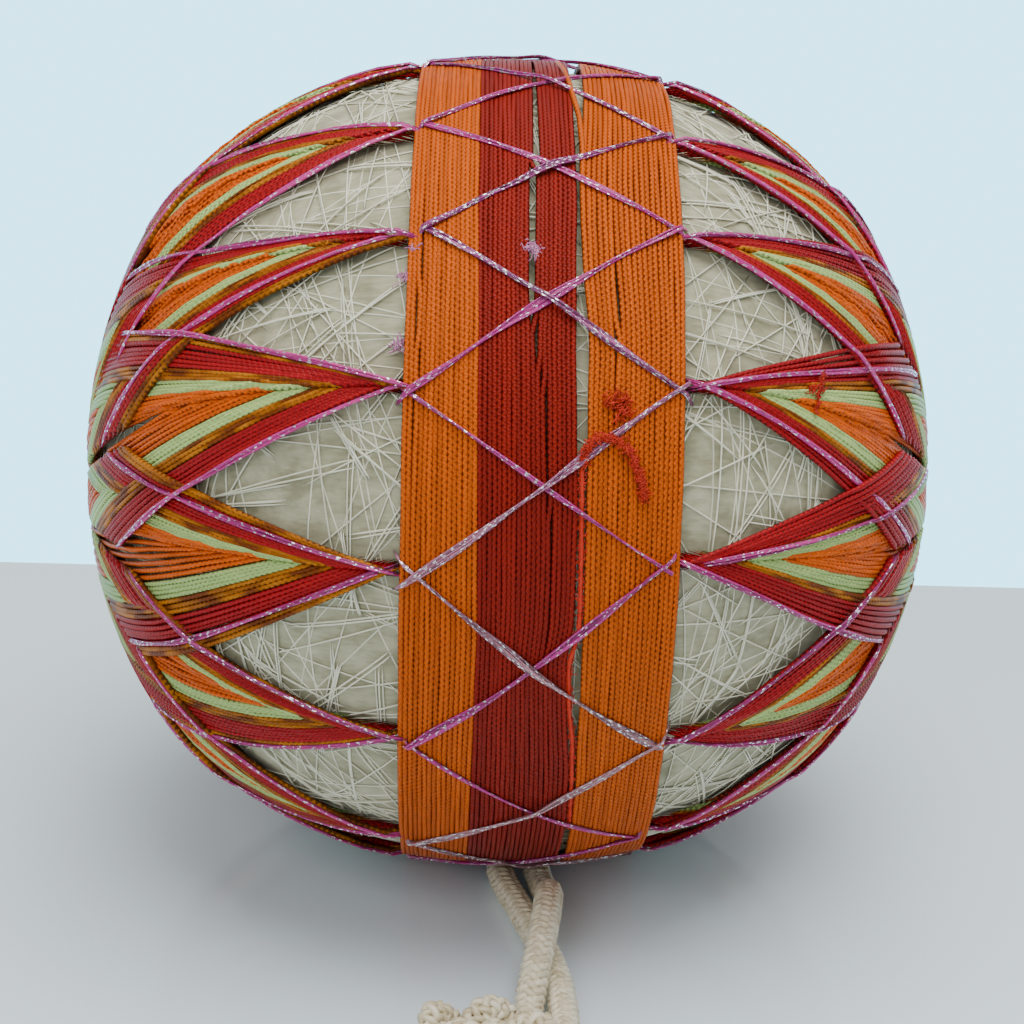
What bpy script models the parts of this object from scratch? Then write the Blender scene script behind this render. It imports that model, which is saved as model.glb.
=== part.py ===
"""Temari ball: a ball of wound thread with a three-band sash, two star flowers and a lattice.

The ball's poles lie on X, so the sash stands upright and the flowers face left and right.
A braided hanging cord leaves the ball under its front (-Y) and lies on the surface at z = 0.
Latitude is counted from the sash's mid line towards +X, and turn from -Y upwards, in degrees.
"""

import math
from collections import namedtuple

import bmesh
import bpy
from mathutils import Vector

MM = 0.001

# The ball: its centre's height, and the flat spot that each layer has over the table
CENTRE_HEIGHT = 43.45 * MM
CLEARANCE = 0.3 * MM
BAND_THICKNESS = 1.0 * MM
THREAD_WIDTH = 1.3 * MM
THREAD_THICKNESS = 0.6 * MM
PRESSED_SHARE = 0.4
UNDER_FLOOR = THREAD_THICKNESS + CLEARANCE
BAND_FLOOR = UNDER_FLOOR + THREAD_THICKNESS + CLEARANCE
BALL_FLOOR = BAND_FLOOR + BAND_THICKNESS + 2 * CLEARANCE

# A layer's radius over the angle from the pole: the ball is a little square in outline
Profile = namedtuple("Profile", "mean oval square")
GROUND = Profile(mean=43.575 * MM, oval=0.0126, square=-0.0212)
BALL_TURN_STEPS = 64
BALL_RISE_STEPS = 20

# The sash's three bands, between latitudes
Band = namedtuple("Band", "name left right colour")
BANDS = (
    Band("sash_orange_left", -13.7, -5.5, (0.85, 0.25, 0.03)),
    Band("sash_red", -5.1, 6.9, (0.50, 0.04, 0.02)),
    Band("sash_orange_right", 8.5, 19.8, (0.85, 0.25, 0.03)),
)
BAND_TURN_STEPS = 64
BAND_EDGE_DROP = 0.4 * MM

# The ball is divided into sixteen; the first division line lies above the -Y direction
DIVISIONS = 16
PITCH = 360.0 / DIVISIONS
FIRST_LINE = 25.0

# Where the stitches at the sash's edges lie, for eight lines that repeat on the far side:
# the lattice's turning points as latitudes, and how far each stitch strays along the edge
Stitch = namedtuple("Stitch", "line left_latitude left_stray right_latitude right_stray")
STITCHES = (
    Stitch(-3, -12.2, -2.5, 18.2, -1.5),
    Stitch(-2, -12.4, -0.8, 18.4, -1.3),
    Stitch(-1, -12.0, 0.8, 17.8, 2.3),
    Stitch(0, -12.9, 0.6, 18.9, 2.2),
    Stitch(1, -12.0, -1.0, 18.9, 0.4),
    Stitch(2, -12.6, -4.5, 18.4, -4.3),
    Stitch(3, -12.4, -4.0, 18.4, -4.0),
    Stitch(4, -12.4, -1.0, 18.4, -1.0),
)

# The lattice's run from edge to edge: how far along, and how much of the full lift over a crossing
LegStep = namedtuple("LegStep", "along lift")
LEG_STEPS = (
    LegStep(0.0, 0.0),
    LegStep(0.12, 0.0),
    LegStep(0.34, 0.0),
    LegStep(0.43, 1.0),
    LegStep(0.57, 1.0),
    LegStep(0.66, 0.0),
    LegStep(0.88, 0.0),
)

# The two flowers: latitudes of the petals' tips, of the outermost turn at the next line, and the hub
Flower = namedtuple("Flower", "name side tip inner_turn")
FLOWERS = (
    Flower("flower_left", -1, 14.7, 55.0),
    Flower("flower_right", 1, 20.8, 57.0),
)
HUB_LATITUDE = 84.0
PETAL_COLUMNS = 6
PETAL_ROWS = 7
PETAL_UNDERSIDE = 0.6 * MM
PETAL_EDGE = 0.85 * MM
PETAL_EDGE_WIDTH = 0.14
HUB_RISE = 0.45 * MM
HUB_WIDTH = 0.3

# A petal's height over the ground from its centre line (0) to the crossing beside it (1)
Relief = namedtuple("Relief", "across height")
PETAL_RELIEF = (
    Relief(0.0, 1.45 * MM),
    Relief(1 / 3, 1.70 * MM),
    Relief(2 / 3, 1.80 * MM),
    Relief(1.0, 1.95 * MM),
)

# The hanging cord, a round braid; each route lies on the table as it does from under the ball
CORD_DIAMETER = 3.0 * MM
CORD_STEP = 2.0
RoutePoint = namedtuple("RoutePoint", "x y z")
LEG_UNDER_ROUTE = (
    RoutePoint(0.5, -16.4, 1.55),
    RoutePoint(1.0, -19.0, 1.55),
    RoutePoint(2.0, -22.4, 1.55),
    RoutePoint(3.4, -27.4, 1.55),
    RoutePoint(4.6, -31.5, 1.55),
    RoutePoint(5.6, -36.0, 1.55),
    RoutePoint(6.1, -41.0, 1.55),
    RoutePoint(6.2, -46.4, 1.55),
)
LEG_OVER_ROUTE = (
    RoutePoint(4.5, -16.4, 1.55),
    RoutePoint(4.9, -19.0, 1.6),
    RoutePoint(5.3, -21.8, 2.4),
    RoutePoint(5.3, -25.0, 4.1),
    RoutePoint(5.0, -29.0, 4.9),
    RoutePoint(4.6, -32.5, 5.0),
    RoutePoint(4.0, -36.5, 4.6),
    RoutePoint(3.3, -40.5, 3.4),
    RoutePoint(2.8, -43.5, 2.2),
    RoutePoint(2.8, -45.7, 1.8),
)

# The knot that gathers the two legs, a flat rosette of eight rounds of the cord
KNOT_X = -1.95 * MM
KNOT_Y = -54.6 * MM
KNOT_RADIUS = 8.6 * MM
KNOT_LOBES = 8
KNOT_LOBE_DEPTH = 0.55 * MM
KNOT_HEIGHT = 6.2 * MM
KNOT_TURN_STEPS = 48
KNOT_RISE_STEPS = 12
KNOT_BLUNTNESS = 0.6

# The loop to hang the ball by, laid out in front of the knot
LOOP_ROUTE = (
    RoutePoint(-3.8, -64.1, 1.55),
    RoutePoint(-4.1, -68.5, 1.55),
    RoutePoint(-5.4, -75.0, 1.55),
    RoutePoint(-7.6, -82.0, 1.55),
    RoutePoint(-9.4, -89.0, 1.55),
    RoutePoint(-10.1, -96.0, 1.55),
    RoutePoint(-8.8, -103.0, 1.55),
    RoutePoint(-4.8, -108.2, 1.55),
    RoutePoint(0.8, -109.0, 1.55),
    RoutePoint(5.6, -105.6, 1.55),
    RoutePoint(7.6, -99.4, 1.55),
    RoutePoint(7.0, -92.0, 1.55),
    RoutePoint(5.0, -84.0, 1.55),
    RoutePoint(2.4, -76.0, 1.55),
    RoutePoint(0.5, -69.5, 1.55),
    RoutePoint(0.0, -64.1, 1.55),
)


def clear_scene():
    """Remove every object that the scene starts with."""
    for item in list(bpy.data.objects):
        bpy.data.objects.remove(item, do_unlink=True)


def make_material(name, colour, roughness):
    """A plain dyed-thread finish."""
    material = bpy.data.materials.new(name)
    material.use_nodes = True
    shader = material.node_tree.nodes["Principled BSDF"]
    shader.inputs["Base Color"].default_value = (*colour, 1.0)
    shader.inputs["Roughness"].default_value = roughness
    shader.inputs["Metallic"].default_value = 0.0
    return material


def add_object(name, data, material):
    """Link a mesh or a curve to the scene under its own name and finish."""
    data.name = name
    data.materials.append(material)
    item = bpy.data.objects.new(name, data)
    bpy.context.scene.collection.objects.link(item)
    return item


def finish_mesh(name, bm, material, sharp_angle=50.0):
    """Turn a bmesh into a smooth-shaded object with its faces pointing out."""
    bmesh.ops.recalc_face_normals(bm, faces=bm.faces[:])
    mesh = bpy.data.meshes.new(name)
    bm.to_mesh(mesh)
    bm.free()
    mesh.shade_smooth()
    mesh.set_sharp_from_angle(angle=math.radians(sharp_angle))
    return add_object(name, mesh, material)


def ground_radius(latitude):
    """The wound ball's radius at a latitude in degrees."""
    from_pole = math.radians(90.0 - abs(latitude))
    shape = 1.0 + GROUND.oval * math.cos(2 * from_pole) + GROUND.square * math.cos(4 * from_pole)
    return GROUND.mean * shape


def on_ball(latitude, turn, height):
    """The point at a latitude and turn, at a height over the wound ball."""
    radius = ground_radius(latitude) + height
    lat, ang = math.radians(latitude), math.radians(turn)
    around = radius * math.cos(lat)
    return Vector((radius * math.sin(lat), -around * math.cos(ang), CENTRE_HEIGHT + around * math.sin(ang)))


def press(point, floor):
    """Flatten a layer where it bears on the table: nothing of it lies below its floor."""
    return Vector((point.x, point.y, max(point.z, floor)))


def smooth_step(value):
    """Ease from 0 to 1 as the value goes from 0 to 1."""
    t = min(max(value, 0.0), 1.0)
    return t * t * (3.0 - 2.0 * t)


def build_wound_ball():
    """The ball of wound off-white thread, cut flat where it rests."""
    bm = bmesh.new()
    bmesh.ops.create_uvsphere(bm, u_segments=BALL_TURN_STEPS, v_segments=BALL_RISE_STEPS, radius=1.0)
    for vert in bm.verts:
        latitude = math.degrees(math.asin(max(-1.0, min(1.0, vert.co.z))))
        turn = math.degrees(math.atan2(vert.co.y, vert.co.x))
        vert.co = on_ball(latitude, turn, 0.0)
    everything = bm.verts[:] + bm.edges[:] + bm.faces[:]
    bmesh.ops.bisect_plane(
        bm, geom=everything, plane_co=(0, 0, BALL_FLOOR), plane_no=(0, 0, -1), clear_outer=True
    )
    rim = [edge for edge in bm.edges if edge.is_boundary]
    bmesh.ops.contextual_create(bm, geom=rim)
    finish_mesh("wound_ball", bm, make_material("wound_thread", (0.72, 0.70, 0.58), 0.8))


def close_rings(bm, rings):
    """Skin closed rings of vertices into one another, the last into the first."""
    for ring, following in zip(rings, rings[1:] + rings[:1]):
        for i, vert in enumerate(ring):
            j = (i + 1) % len(ring)
            bm.faces.new((vert, ring[j], following[j], following[i]))


def band_section(band):
    """A band's section as latitude, height and floor: flat inside, with its outer edges rounded off."""
    inner, outer = CLEARANCE, CLEARANCE + BAND_THICKNESS
    inner_floor = BAND_FLOOR + BAND_THICKNESS
    inset = 0.16 * (band.right - band.left)
    middle = 0.5 * (band.left + band.right)
    shoulder = outer - BAND_EDGE_DROP
    return (
        (band.left, inner, inner_floor),
        (middle, inner, inner_floor),
        (band.right, inner, inner_floor),
        (band.right, shoulder, BAND_FLOOR + BAND_EDGE_DROP),
        (band.right - inset, outer, BAND_FLOOR),
        (band.left + inset, outer, BAND_FLOOR),
        (band.left, shoulder, BAND_FLOOR + BAND_EDGE_DROP),
    )


def build_band(band):
    """One band of the sash, many rounds of thread laid side by side."""
    bm = bmesh.new()
    section = band_section(band)
    rings = []
    for step in range(BAND_TURN_STEPS):
        turn = 360.0 * step / BAND_TURN_STEPS
        corners = [press(on_ball(lat, turn, height), floor) for lat, height, floor in section]
        rings.append([bm.verts.new(corner) for corner in corners])
    close_rings(bm, rings)
    finish_mesh(band.name, bm, make_material(band.name, band.colour, 0.6))


def stitch_at(line):
    """The stitches of a division line."""
    index = (line - STITCHES[0].line) % len(STITCHES)
    return STITCHES[index]


def left_point(line):
    """Latitude and turn of the lattice's turning point at the sash's left edge."""
    stitch = stitch_at(line)
    return stitch.left_latitude, FIRST_LINE + line * PITCH + stitch.left_stray


def right_point(line):
    """Latitude and turn of the lattice's turning point at the sash's right edge."""
    stitch = stitch_at(line)
    return stitch.right_latitude, FIRST_LINE + line * PITCH + stitch.right_stray


def lattice_route(first_line):
    """One zigzag of the lattice round the ball, as latitude, turn and lift."""
    corners = []
    for line in range(first_line, first_line + DIVISIONS, 2):
        corners += [left_point(line), right_point(line + 1)]
    closing_latitude, closing_turn = corners[0]
    corners.append((closing_latitude, closing_turn + 360.0))
    route = []
    for (lat_a, turn_a), (lat_b, turn_b) in zip(corners, corners[1:]):
        for step in LEG_STEPS:
            latitude = lat_a + (lat_b - lat_a) * step.along
            route.append((latitude, turn_a + (turn_b - turn_a) * step.along, step.lift))
    return route


def build_lattice_thread(name, first_line, crossing_lift, crossing_floor):
    """A flat doubled thread that zigzags over the sash from stitch to stitch, pressed flat below."""
    half_width, half_thickness = THREAD_WIDTH / 2, THREAD_THICKNESS / 2
    shoulder = 0.6 * half_width
    section = (
        (half_width, 0.0),
        (shoulder, half_thickness),
        (-shoulder, half_thickness),
        (-half_width, 0.0),
        (-shoulder, -half_thickness),
        (shoulder, -half_thickness),
    )
    seat = 2 * CLEARANCE + BAND_THICKNESS + half_thickness
    pressed = PRESSED_SHARE * half_thickness
    route = lattice_route(first_line)
    floors = [share * crossing_floor for _, _, share in route]
    centres = [
        press(on_ball(lat, turn, seat + share * crossing_lift), floor + pressed)
        for (lat, turn, share), floor in zip(route, floors)
    ]
    bm = bmesh.new()
    rings = []
    for i, (centre, floor) in enumerate(zip(centres, floors)):
        ahead = centres[(i + 1) % len(centres)] - centres[i - 1]
        outward = centre - Vector((0.0, 0.0, CENTRE_HEIGHT))
        if centre.z <= floor + pressed:
            outward = Vector((0.0, 0.0, -1.0))
            ahead.z = 0.0
        across = ahead.cross(outward).normalized()
        rise = across.cross(ahead).normalized()
        rings.append([bm.verts.new(press(centre + across * a + rise * b, floor)) for a, b in section])
    close_rings(bm, rings)
    finish_mesh(name, bm, make_material(name, (0.42, 0.05, 0.20), 0.35))


def taut_latitude(lat_a, lat_b, share):
    """Latitude part of the way along a thread pulled taut from one division line to the next."""
    span = math.radians(PITCH)
    pull_a = math.tan(math.radians(lat_a)) * math.sin(span * (1.0 - share))
    pull_b = math.tan(math.radians(lat_b)) * math.sin(span * share)
    return math.degrees(math.atan((pull_a + pull_b) / math.sin(span)))


def petal_height(across, inward):
    """Height of a flower over the ground; inward goes from its outline (0) to its hub (1)."""
    height = PETAL_RELIEF[-1].height
    for near, far in zip(PETAL_RELIEF, PETAL_RELIEF[1:]):
        if near.across <= across <= far.across:
            share = (across - near.across) / (far.across - near.across)
            height = near.height + (far.height - near.height) * share
            break
    rise = smooth_step(inward / PETAL_EDGE_WIDTH)
    hub = HUB_RISE * smooth_step((inward - 1.0 + HUB_WIDTH) / HUB_WIDTH)
    return PETAL_EDGE + (height - PETAL_EDGE) * rise + hub


def flower_column(flower, column):
    """Latitude of the outline, turn, and place across the petal for one column of a flower."""
    line, part = divmod(column, PETAL_COLUMNS)
    share = part / PETAL_COLUMNS
    stray_of = (lambda s: s.left_stray) if flower.side < 0 else (lambda s: s.right_stray)
    stray = stray_of(stitch_at(line)) * (1.0 - share) + stray_of(stitch_at(line + 1)) * share
    across = 2.0 * min(share, 1.0 - share)
    outline = taut_latitude(flower.tip, flower.inner_turn, across / 2.0)
    return outline, FIRST_LINE + (line + share) * PITCH, stray, across


def build_flower(flower):
    """A sixteen-petalled flower of overlapping zigzag rounds, open at its hub."""
    bm = bmesh.new()
    rings = []
    for column in range(DIVISIONS * PETAL_COLUMNS):
        outline, turn, stray, across = flower_column(flower, column)
        tops, undersides = [], []
        for row in range(PETAL_ROWS + 1):
            inward = row / PETAL_ROWS
            latitude = outline + (HUB_LATITUDE - outline) * inward
            place = (flower.side * latitude, turn + stray * (1.0 - inward))
            tops.append(bm.verts.new(on_ball(*place, petal_height(across, inward))))
            undersides.append(bm.verts.new(on_ball(*place, PETAL_UNDERSIDE)))
        rings.append(tops + undersides[::-1])
    close_rings(bm, rings)
    finish_mesh(flower.name, bm, make_material(flower.name, (0.55, 0.12, 0.03), 0.6))


def smooth_points(route, step):
    """Read points an even step apart from a smooth curve through a route's own points, in metres."""
    knots = [Vector(point) * MM for point in route]
    knots = [2 * knots[0] - knots[1]] + knots + [2 * knots[-1] - knots[-2]]
    fine = []
    for a, b, c, d in zip(knots, knots[1:], knots[2:], knots[3:]):
        for i in range(24):
            t = i / 24
            bend, twist = 2 * a - 5 * b + 4 * c - d, 3 * b - a - 3 * c + d
            fine.append(0.5 * (2 * b + (c - a) * t + bend * t**2 + twist * t**3))
    fine.append(knots[-2])
    lengths = [0.0]
    for before, after in zip(fine, fine[1:]):
        lengths.append(lengths[-1] + (after - before).length)
    count = max(2, round(lengths[-1] / step))
    points, seek = [], 0
    for i in range(count + 1):
        target = lengths[-1] * i / count
        while seek < len(fine) - 2 and lengths[seek + 1] < target:
            seek += 1
        share = (target - lengths[seek]) / (lengths[seek + 1] - lengths[seek])
        points.append(fine[seek].lerp(fine[seek + 1], min(max(share, 0.0), 1.0)))
    return points


def build_cord(name, route, material):
    """A stretch of the braided cord as a tube with closed ends."""
    points = smooth_points(route, CORD_STEP * CORD_DIAMETER)
    curve = bpy.data.curves.new(name, "CURVE")
    curve.dimensions = "3D"
    curve.bevel_depth = CORD_DIAMETER / 2
    curve.bevel_resolution = 2
    curve.use_fill_caps = True
    spline = curve.splines.new("POLY")
    spline.points.add(len(points) - 1)
    for slot, point in zip(spline.points, points):
        slot.co = (*point, 1.0)
    add_object(name, curve, material)


def build_knot(material):
    """The rosette knot as a flat cushion whose rim swells at each round of the cord."""
    bm = bmesh.new()
    bmesh.ops.create_uvsphere(bm, u_segments=KNOT_TURN_STEPS, v_segments=KNOT_RISE_STEPS, radius=1.0)
    half = KNOT_HEIGHT / 2
    for vert in bm.verts:
        turn = math.atan2(vert.co.y, vert.co.x)
        level = vert.co.z
        reach = math.hypot(vert.co.x, vert.co.y) ** KNOT_BLUNTNESS
        lobe = math.cos(KNOT_LOBES * turn)
        radius = reach * (KNOT_RADIUS + KNOT_LOBE_DEPTH * lobe)
        aim = turn + math.pi / KNOT_LOBES
        vert.co = (KNOT_X + radius * math.cos(aim), KNOT_Y + radius * math.sin(aim), half + half * level)
    finish_mesh("knot", bm, material)


def main():
    """Build every piece of the ball in the order in which it is wound, stitched and hung."""
    clear_scene()
    build_wound_ball()
    for band in BANDS:
        build_band(band)
    for flower in FLOWERS:
        build_flower(flower)
    build_lattice_thread("lattice_under", 0, 0.0, UNDER_FLOOR)
    build_lattice_thread("lattice_over", 1, THREAD_THICKNESS + CLEARANCE, 0.0)
    cord = make_material("cord_braid", (0.80, 0.74, 0.58), 0.45)
    build_cord("cord_leg_under", LEG_UNDER_ROUTE, cord)
    build_cord("cord_leg_over", LEG_OVER_ROUTE, cord)
    build_knot(cord)
    build_cord("hanging_loop", LOOP_ROUTE, cord)


if __name__ == "__main__":
    main()
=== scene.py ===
"""Temari ball, dressed thread by thread.

A ball wound in off-white thread carries an upright sash of three bands, a lattice of metallic
thread over the sash, and a sixteen-petalled flower on each side. A braided cord with a knot and
a loop leaves it at the bottom and lies on the table.

The ball's poles lie on X. Latitude is counted from the sash's mid line towards +X, and turn from
the front (-Y) upwards, both in degrees. Lengths are in millimetres until a mesh is made.
"""

from __future__ import annotations

import logging
import math
from dataclasses import dataclass, field
from enum import Enum

import bmesh
import bpy
import numpy as np
from bpy.types import Curve, Material, Mesh, Node, NodeSocket, NodeTree, Object
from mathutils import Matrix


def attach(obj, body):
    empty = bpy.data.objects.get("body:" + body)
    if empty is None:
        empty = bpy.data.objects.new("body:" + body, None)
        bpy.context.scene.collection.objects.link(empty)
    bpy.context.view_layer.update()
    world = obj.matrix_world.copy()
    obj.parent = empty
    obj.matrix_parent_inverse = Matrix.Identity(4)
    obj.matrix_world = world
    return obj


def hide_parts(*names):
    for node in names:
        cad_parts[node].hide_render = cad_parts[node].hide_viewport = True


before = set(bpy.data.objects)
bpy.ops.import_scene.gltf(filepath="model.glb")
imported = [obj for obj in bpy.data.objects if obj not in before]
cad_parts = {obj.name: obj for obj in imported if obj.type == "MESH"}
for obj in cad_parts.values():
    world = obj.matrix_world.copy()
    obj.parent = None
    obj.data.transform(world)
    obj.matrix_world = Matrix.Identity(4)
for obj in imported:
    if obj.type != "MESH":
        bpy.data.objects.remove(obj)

LOG = logging.getLogger("temari_ball")

MM = 0.001

DIVISIONS = 16
PITCH = 360.0 / DIVISIONS
FIRST_LINE = 25.0
SASH_RADIUS = 44.0
DEGREES_PER_MM = math.degrees(1.0 / SASH_RADIUS)


class Side(Enum):
    """The two halves of the ball, as the sign of their latitudes."""

    LEFT = -1
    RIGHT = 1


class Ply(Enum):
    """How finely a tube is rounded: Blender's bevel resolution, and the sides that it gives."""

    FINE = (0, 4)
    COMMON = (1, 6)


def unit(vectors: np.ndarray) -> np.ndarray:
    """One vector, or one in each row, at length 1."""
    return vectors / (np.linalg.norm(vectors, axis=-1, keepdims=True) + 1e-9)


def lengths_along(points: np.ndarray) -> np.ndarray:
    """The length along a line up to each of its points."""
    return np.r_[0.0, np.cumsum(np.linalg.norm(np.diff(points, axis=0), axis=1))]


def even_steps(points: np.ndarray, step: float) -> np.ndarray:
    """Read points an even step apart along a line."""
    along = lengths_along(points)
    targets = np.linspace(0.0, along[-1], max(2, round(along[-1] / step)) + 1)
    return np.stack([np.interp(targets, along, points[:, i]) for i in range(3)], axis=1)


def smooth_step(value: np.ndarray) -> np.ndarray:
    """Ease from 0 to 1 as the value goes from 0 to 1."""
    t = np.clip(value, 0.0, 1.0)
    return t * t * (3.0 - 2.0 * t)


def wander(rng: np.random.Generator, along: np.ndarray, waves: tuple[int, ...], size: float) -> np.ndarray:
    """A smooth periodic stray.

    Args:
        rng: the seeded source of its phases.
        along: the place along, where 1 is one full period.
        waves: the whole numbers of waves in a period.
        size: the usual stray.

    Returns:
        The stray at each place.
    """
    total = np.zeros_like(along)
    for count in waves:
        total += np.sin(2 * np.pi * (count * along + rng.random())) * rng.uniform(0.4, 1.0)
    return total * size / math.sqrt(len(waves))


def linear(colour: str) -> tuple[float, float, float, float]:
    """Turn an sRGB hex colour to linear light.

    Args:
        colour: the colour as six hex digits after a hash.

    Returns:
        Red, green, blue and an alpha of 1.
    """
    values = [int(colour[i : i + 2], 16) / 255.0 for i in (1, 3, 5)]
    red, green, blue = [v / 12.92 if v <= 0.04045 else ((v + 0.055) / 1.055) ** 2.4 for v in values]
    return red, green, blue, 1.0


def fill_inputs(tree: NodeTree, node: Node, inputs: dict) -> None:
    """Fill a node's inputs.

    Args:
        tree: the tree that the node is in.
        node: the node.
        inputs: for each input, by name or as in_0, in_1, ..., a socket to link or a value to set.
    """
    for name, value in inputs.items():
        socket = node.inputs[int(name[3:]) if name.startswith("in_") else name.replace("_", " ")]
        if isinstance(value, NodeSocket):
            tree.links.new(value, socket)
        else:
            socket.default_value = value


def add_node(tree: NodeTree, kind: str, settings: dict | None = None, **inputs) -> Node:
    """Add a node.

    Args:
        tree: the node tree.
        kind: the node's type name.
        settings: the node's properties by name.
        inputs: its inputs, as fill_inputs takes them.

    Returns:
        The new node.
    """
    node = tree.nodes.new(kind)
    for name, value in (settings or {}).items():
        setattr(node, name, value)
    fill_inputs(tree, node, inputs)
    return node


def compute(tree: NodeTree, operation: str, *values) -> NodeSocket:
    """The result of a sum on sockets or numbers."""
    inputs = {f"in_{number}": value for number, value in enumerate(values)}
    return add_node(tree, "ShaderNodeMath", {"operation": operation}, **inputs).outputs[0]


def fit(tree: NodeTree, value, start: float, end: float, low: float = 0.0, high: float = 1.0) -> NodeSocket:
    """A value from start to end, brought to low to high and kept between them."""
    return add_node(tree, "ShaderNodeMapRange", in_0=value, in_1=start, in_2=end, in_3=low, in_4=high).outputs[0]


def blend(tree: NodeTree, share: NodeSocket, first, second) -> NodeSocket:
    """A mix of two colours."""
    return add_node(tree, "ShaderNodeMix", {"data_type": "RGBA"}, in_0=share, in_6=first, in_7=second).outputs[2]


def flat_noise(tree: NodeTree, uv: NodeSocket, scale: float, detail: float, stretch: tuple = ()) -> NodeSocket:
    """Noise over a UV map, finer or coarser each way by the stretch's two factors."""
    if stretch:
        uv = add_node(tree, "ShaderNodeMapping", Vector=uv, Scale=(*stretch, 1.0)).outputs[0]
    settings = {"noise_dimensions": "2D"}
    return add_node(tree, "ShaderNodeTexNoise", settings, Vector=uv, Scale=scale, Detail=detail).outputs["Fac"]


@dataclass
class Shading:
    """A node material in the making, with its Principled shader linked to the output."""

    name: str

    def __post_init__(self) -> None:
        """Start the material."""
        self.material = bpy.data.materials.new(self.name)
        self.material.use_nodes = True
        self.tree = self.material.node_tree
        self.tree.nodes.clear()
        self.shader = add_node(self.tree, "ShaderNodeBsdfPrincipled")
        add_node(self.tree, "ShaderNodeOutputMaterial", Surface=self.shader.outputs["BSDF"])

    def read_thread(self) -> tuple[NodeSocket, NodeSocket]:
        """The UV map of a thread bundle, and its threads' tints."""
        uv = add_node(self.tree, "ShaderNodeUVMap", {"uv_map": "UVMap"})
        tint = add_node(self.tree, "ShaderNodeAttribute", {"attribute_name": "tint"})
        return uv.outputs[0], tint.outputs["Fac"]

    def bump(self, relief: NodeSocket, strength: float, depth: float) -> NodeSocket:
        """A bump from a relief, with its depth in millimetres."""
        return add_node(self.tree, "ShaderNodeBump", Strength=strength, Distance=depth * MM, Height=relief).outputs[0]

    def finish(self, **inputs) -> Material:
        """Fill the shader's inputs, and give the material."""
        fill_inputs(self.tree, self.shader, inputs)
        return self.material


@dataclass(frozen=True)
class BallForm:
    """The wound ball's form: a little square in outline between its poles and its sash."""

    centre_height: float = 43.45
    mean: float = 43.575
    oval: float = 0.0126
    square: float = -0.0212

    def radius(self, latitude: np.ndarray) -> np.ndarray:
        """The ground's radius at each latitude."""
        from_pole = np.radians(90.0 - np.abs(latitude))
        return self.mean * (1.0 + self.oval * np.cos(2 * from_pole) + self.square * np.cos(4 * from_pole))

    def place(self, latitude, turn, height, floor: float = 0.0) -> np.ndarray:
        """Points over the ball.

        Args:
            latitude: degrees from the sash's mid line towards +X.
            turn: degrees from the front upwards.
            height: millimetres over the ground.
            floor: no point comes lower than this, because the ball's own weight presses it flat.

        Returns:
            One row of x, y and z for each point, in millimetres.
        """
        latitude, turn, height = np.broadcast_arrays(latitude, turn, height)
        radius = self.radius(latitude) + height
        lat, ang = np.radians(latitude), np.radians(turn)
        around = radius * np.cos(lat)
        points = (radius * np.sin(lat), -around * np.cos(ang), self.centre_height + around * np.sin(ang))
        points = np.stack(points, axis=-1)
        points[..., 2] = np.maximum(points[..., 2], floor)
        return points

    def reach(self, directions: np.ndarray, height, floor: float = 0.0) -> np.ndarray:
        """Points over the ball in given directions from its centre."""
        latitude = np.degrees(np.arcsin(np.clip(directions[:, 0], -1.0, 1.0)))
        turn = np.degrees(np.arctan2(directions[:, 2], -directions[:, 1]))
        return self.place(latitude, turn, height, floor)

    def outward(self, points: np.ndarray) -> np.ndarray:
        """The directions from the ball's centre to the points."""
        return unit(points - (0.0, 0.0, self.centre_height))


FORM = BallForm()


def put(name: str, data: bpy.types.ID) -> Object:
    """Put an object in the scene, untransformed."""
    item = bpy.data.objects.new(name, data)
    bpy.context.scene.collection.objects.link(item)
    return item


def add_piece(name: str, mesh: Mesh, material: Material, slot: str, *replaced: str) -> Object:
    """Put a finished mesh in the scene, riding on the ball, and report it.

    Args:
        name: the piece's name.
        mesh: its mesh.
        material: its finish.
        slot: the record's material slot that it belongs to; not used.
        replaced: the CAD nodes that it stands for.

    Returns:
        The piece.
    """
    mesh.name = name
    mesh.materials.clear()
    mesh.materials.append(material)
    piece = put(name, mesh)
    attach(piece, "root")
    if replaced:
        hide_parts(*replaced)
    LOG.info("%s: %d faces", name, len(mesh.polygons))
    return piece


@dataclass
class Run:
    """One thread's course: its centre line in millimetres, and what its finish reads along it."""

    points: np.ndarray
    closed: bool
    widths: np.ndarray
    along: np.ndarray

    def around(self, ring: np.ndarray) -> np.ndarray:
        """How far round the thread each vertex lies, from -0.5 to 0.5, where 0 faces outward.

        Args:
            ring: the vertices, as one row of them for each point of the centre line.

        Returns:
            The share of a full turn for each vertex.
        """
        if self.closed:
            ahead = np.roll(self.points, -1, axis=0) - np.roll(self.points, 1, axis=0)
        else:
            ahead = np.gradient(self.points, axis=0)
        aside = unit(np.cross(ahead, FORM.outward(self.points)))
        upward = unit(np.cross(aside, ahead))
        spoke = ring - self.points[:, None, :]
        share = np.arctan2((spoke * aside[:, None, :]).sum(2), (spoke * upward[:, None, :]).sum(2)) / (2 * np.pi)
        if not self.closed:
            share[0], share[-1] = share[1], share[-2]
        return share


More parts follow.
